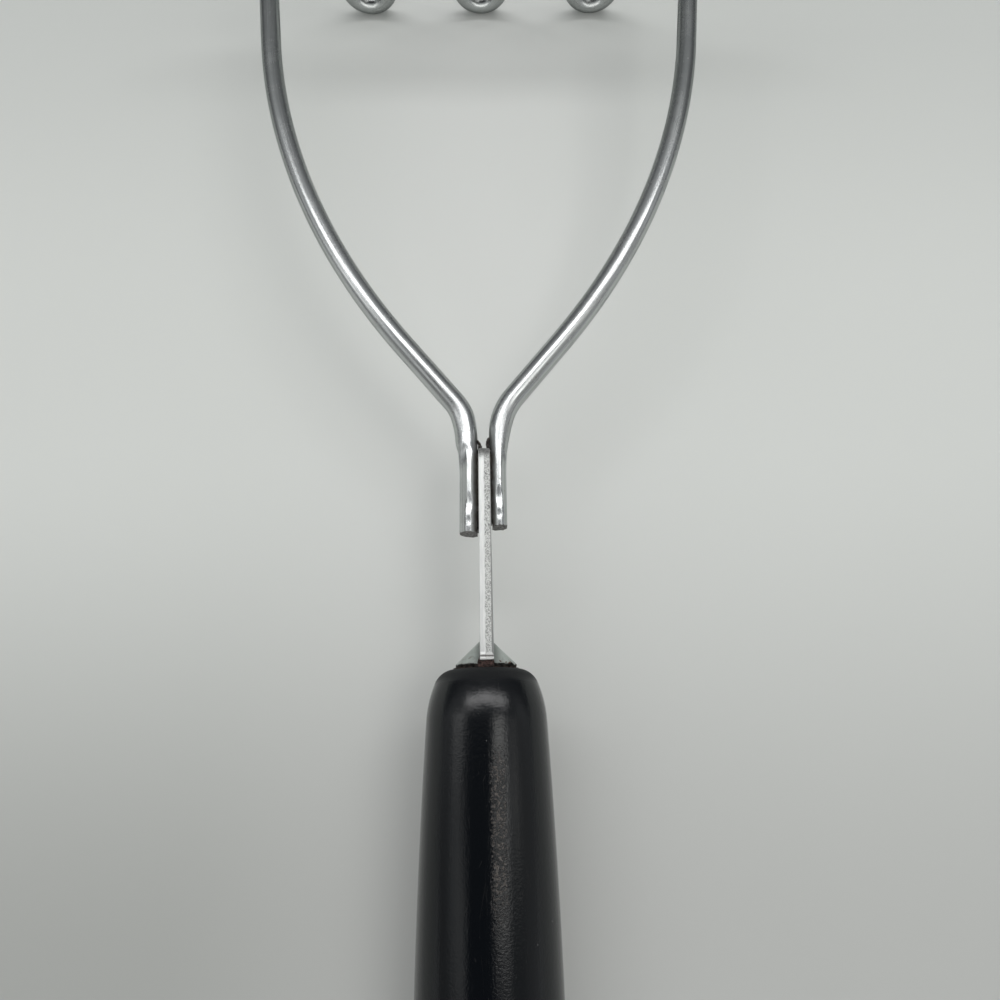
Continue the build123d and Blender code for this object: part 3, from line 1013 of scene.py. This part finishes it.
def weld_finish():
    material, tree, shader = new_finish("burnt_weld", Metallic=0.6)
    place = tool_coordinates(tree)
    crust = add_node(tree, "ShaderNodeTexNoise", {"Vector": place, "Scale": 2400.0, "Detail": 6.0}).outputs["Fac"]
    colour = add_mix(tree, add_range(tree, crust, 0.35, 0.7), (0.012, 0.010, 0.009), (0.11, 0.095, 0.085))
    tree.links.new(colour, shader.inputs["Base Color"])
    tree.links.new(add_range(tree, crust, 0.3, 0.7, 0.55, 0.35, "LINEAR"), shader.inputs["Roughness"])
    add_bump(tree, shader, crust, 0.0002, 0.8)
    return material


# Table, room and camera

def table_finish():
    material, tree, shader = new_finish("pale_table", Roughness=0.55)
    place = add_node(tree, "ShaderNodeTexCoord").outputs["Object"]
    cloud = add_node(tree, "ShaderNodeTexNoise", {"Vector": place, "Scale": 9.0, "Detail": 3.0}).outputs["Fac"]
    parts = add_node(tree, "ShaderNodeSeparateXYZ", {0: place}).outputs
    # Painted shade: the table is darker toward the camera, more so on the left, and a little darker far beyond the
    # grid
    lit_share_ahead = add_range(tree, parts[1], -0.085, 0.014)
    painted_falloff_beyond = add_range(tree, parts[1], 0.045, 0.15)
    rightward = add_range(tree, parts[0], -0.07, 0.06)
    painted_shade_near_camera = add_mix(tree, rightward, (0.475, 0.485, 0.465), (0.59, 0.60, 0.58))
    colour = add_mix(tree, lit_share_ahead, painted_shade_near_camera, (0.81, 0.83, 0.80))
    colour = add_mix(tree, painted_falloff_beyond, colour, (0.705, 0.725, 0.70))
    # Painted light: a lighter band along the middle of the tool lifts its shadow on the table
    painted_light_middle = add_range(tree, add_math(tree, "ABSOLUTE", parts[0]), 0.0, 0.055, 0.25, 0.0)
    colour = add_mix(tree, painted_light_middle, colour, (1.0, 1.0, 0.98))
    colour = add_mix(tree, add_range(tree, cloud, 0.3, 0.7, 0.0, 0.04), colour, (0.60, 0.60, 0.57))
    tree.links.new(colour, shader.inputs["Base Color"])
    return material


def make_table():
    half = 3.0
    mesh = bpy.data.meshes.new("table")
    mesh.from_pydata([(-half, -half, 0), (half, -half, 0), (half, half, 0), (-half, half, 0)], [], [(0, 1, 2, 3)])
    mesh.materials.append(table_finish())
    table = new_piece("table", mesh)


def add_panel(name, place, size, radiance):
    data = bpy.data.lights.new(name, "AREA")
    data.shape = "RECTANGLE"
    data.size = size[0]
    data.size_y = size[1]
    data.energy = radiance * pi * size[0] * size[1]
    lamp = bpy.data.objects.new(name, data)
    lamp.location = place
    lamp.rotation_euler = (-Vector(place)).to_track_quat("-Z", "Y").to_euler()
    bpy.context.scene.collection.objects.link(lamp)
    return lamp


# A soft-edged window in the directions of the room, in degrees left and right of
# straight up, and behind and ahead of it
def window_group():
    tree, given, result = new_tree(
        "room_window", "ShaderNodeTree",
        {
            "Sideways": value_input(0), "Lengthwise": value_input(0),
            "Left": value_input(-10), "Right": value_input(10), "Near": value_input(-10), "Far": value_input(10),
            "Edge": value_input(3),
        },
        {"Mask": "NodeSocketFloat"},
    )
    mask = None
    for value, low, high in (("Sideways", "Left", "Right"), ("Lengthwise", "Near", "Far")):
        rising = add_range(tree, given[value], add_math(tree, "SUBTRACT", given[low], given["Edge"]), add_math(tree, "ADD", given[low], given["Edge"]))
        falling = add_range(tree, given[value], add_math(tree, "SUBTRACT", given[high], given["Edge"]), add_math(tree, "ADD", given[high], given["Edge"]), 1.0, 0.0)
        both = add_math(tree, "MULTIPLY", rising, falling)
        mask = both if mask is None else add_math(tree, "MULTIPLY", mask, both)
    tree.links.new(mask, result["Mask"])
    return tree


def make_room():
    world = bpy.data.worlds.new("room")
    bpy.context.scene.world = world
    world.use_nodes = True
    tree = world.node_tree
    background = tree.nodes["Background"]
    direction = add_node(tree, "ShaderNodeTexCoord").outputs["Generated"]
    parts = add_node(tree, "ShaderNodeSeparateXYZ", {0: direction}).outputs
    degrees_each = 180 / pi
    sideways = add_math(tree, "MULTIPLY", add_math(tree, "ARCTAN2", parts[0], parts[2]), degrees_each)
    lengthwise = add_math(tree, "MULTIPLY", add_math(tree, "ARCTAN2", parts[1], parts[2]), degrees_each)
    window = window_group()

    def opening(left, right, near, far, edge):
        return use_group(
            tree, window, sideways=sideways, lengthwise=lengthwise, left=left, right=right, near=near, far=far, edge=edge
        )

    # The room, brightest first behind: each line is an opening's edges in degrees, the
    # softness of its edge and its colour
    colour = room_colour
    for edges, tone in room_openings:
        colour = add_mix(tree, opening(*edges), colour, tone)
    tree.links.new(colour, background.inputs["Color"])


room_colour = (0.50, 0.515, 0.52)
room_openings = (
    ((-95.0, -66.0, -60.0, 10.0, 6.0), (0.28, 0.285, 0.285)),
    ((60.0, 100.0, -60.0, 10.0, 6.0), (0.32, 0.325, 0.325)),
    ((-36.0, 60.0, 2.0, 60.0, 5.0), (0.30, 0.31, 0.315)),
    ((-110.0, 110.0, 46.0, 200.0, 5.0), (0.19, 0.195, 0.20)),
    ((-110.0, 110.0, 64.0, 200.0, 8.0), (0.13, 0.135, 0.14)),
    ((-95.0, -50.0, -70.0, -30.0, 5.0), (0.18, 0.18, 0.175)),
    ((14.0, 62.0, -54.0, -12.0, 4.0), (0.20, 0.205, 0.20)),
    ((-56.0, -36.0, -24.0, -11.0, 3.0), (0.72, 0.73, 0.72)),
    ((-36.0, 12.0, -38.0, -8.0, 3.0), (0.03, 0.031, 0.035)),
    ((-45.0, 12.0, -9.0, 4.0, 3.0), (0.03, 0.031, 0.035)),
    ((-64.0, -39.0, 3.0, 15.0, 3.0), (1.7, 1.71, 1.7)),
    ((12.0, 34.0, -13.0, 4.5, 2.5), (2.35, 2.35, 2.27)),
    ((20.0, 32.0, -24.0, -13.0, 3.0), (0.36, 0.36, 0.35)),
    ((44.0, 56.0, -13.0, 4.0, 3.0), (0.95, 0.95, 0.92)),
    ((60.0, 74.0, -24.0, 4.0, 5.0), (0.36, 0.36, 0.35)),
    ((-65.0, 65.0, -84.0, -58.0, 5.0), (2.2, 2.2, 2.15)),
)


def make_lights():
    add_panel("key_panel", (0.0, 0.86, 2.0), (3.3, 0.34), 5.2)
    add_panel("side_panel", (0.98, -0.20, 2.0), (0.9, 0.8), 0.5)


def make_camera():
    data = bpy.data.cameras.new("camera")
    data.sensor_width = 36
    data.lens = 27.036
    data.clip_start = 0.01
    camera = bpy.data.objects.new("camera", data)
    camera.location = (0.00112, -0.05286, 0.13936)
    camera.rotation_euler = (radians(20.862), radians(-0.377), radians(-0.901))
    bpy.context.scene.collection.objects.link(camera)
    bpy.context.scene.camera = camera


make_table()
make_room()
make_lights()
make_camera()
make_wire(plated_wire_finish(), sheared_end_finish())
make_handle(lacquer_finish())
make_tang(tang_finish())
make_ferrule(ferrule_finish())
weld = weld_finish()
for node in ("weld_left", "weld_right"):
    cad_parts[node].data.materials.clear()
    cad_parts[node].data.materials.append(weld)
make_weld_flash(weld)
make_slot_rust(rust_finish(), dirt_finish())

bpy.context.scene.view_settings.view_transform = "Standard"
